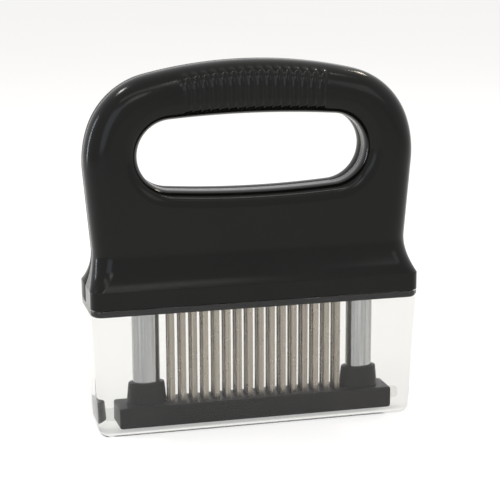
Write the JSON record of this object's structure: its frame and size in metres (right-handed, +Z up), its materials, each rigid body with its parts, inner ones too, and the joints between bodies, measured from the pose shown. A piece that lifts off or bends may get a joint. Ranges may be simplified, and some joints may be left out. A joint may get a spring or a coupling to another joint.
{
  "type": "blade meat tenderizer",
  "caption": "Hand-held blade meat tenderizer: moulded loop handle with grip ribs, rows of flat blades, sprung pressure plate on two posts and a clear cover.",
  "frame": {"origin": "middle of the flat underside of the clear cover, on which the tool stands", "axes": "+Z up through the handle, +X along the width to the right, -Y the front face"},
  "size_m": [0.15, 0.035, 0.165],
  "materials": {
    "black_plastic": "gloss",
    "plate_plastic": "semi-gloss",
    "clear_plastic": "clear",
    "post_chrome": "polished",
    "blade_steel": "brushed",
    "bush_plastic": "satin",
    "screw_steel": "zinc plated",
    "spring_steel": "drawn wire"
  },
  "bodies": {
    "handle": {"handle_front_shell": "black_plastic", "handle_rear_shell": "black_plastic", "base_plate": "black_plastic", "base_plate_screws": "screw_steel", "blade_row_front": "blade_steel", "blade_row_middle": "blade_steel", "blade_row_rear": "blade_steel", "blade_clamp_bar": "bush_plastic", "clamp_bar_screws": "screw_steel", "post_bush_left": "bush_plastic", "post_bush_right": "bush_plastic", "return_spring_left": "spring_steel", "return_spring_right": "spring_steel"},
    "pressure_carriage": {"pressure_plate": "plate_plastic", "guide_post_left": "post_chrome", "guide_post_right": "post_chrome", "post_collar_left": "screw_steel", "post_collar_right": "screw_steel", "post_screw_left": "screw_steel", "post_screw_right": "screw_steel", "end_buffer_left": "clear_plastic", "end_buffer_right": "clear_plastic"},
    "cover": {"clear_cover": "clear_plastic"}
  },
  "joints": [
    {"name": "plate_press", "type": "slide", "parent": "handle", "child": "pressure_carriage", "axis": [0, 0, 1], "range_m": [0, 0.032], "stiffness_N_per_m": 700, "springref_m": -0.012, "deforming": ["return_spring_left", "return_spring_right"]},
    {"name": "cover_pull", "type": "slide", "parent": "handle", "child": "cover", "axis": [0, 0, -1], "range_m": [0, 0.075]}
  ]
}
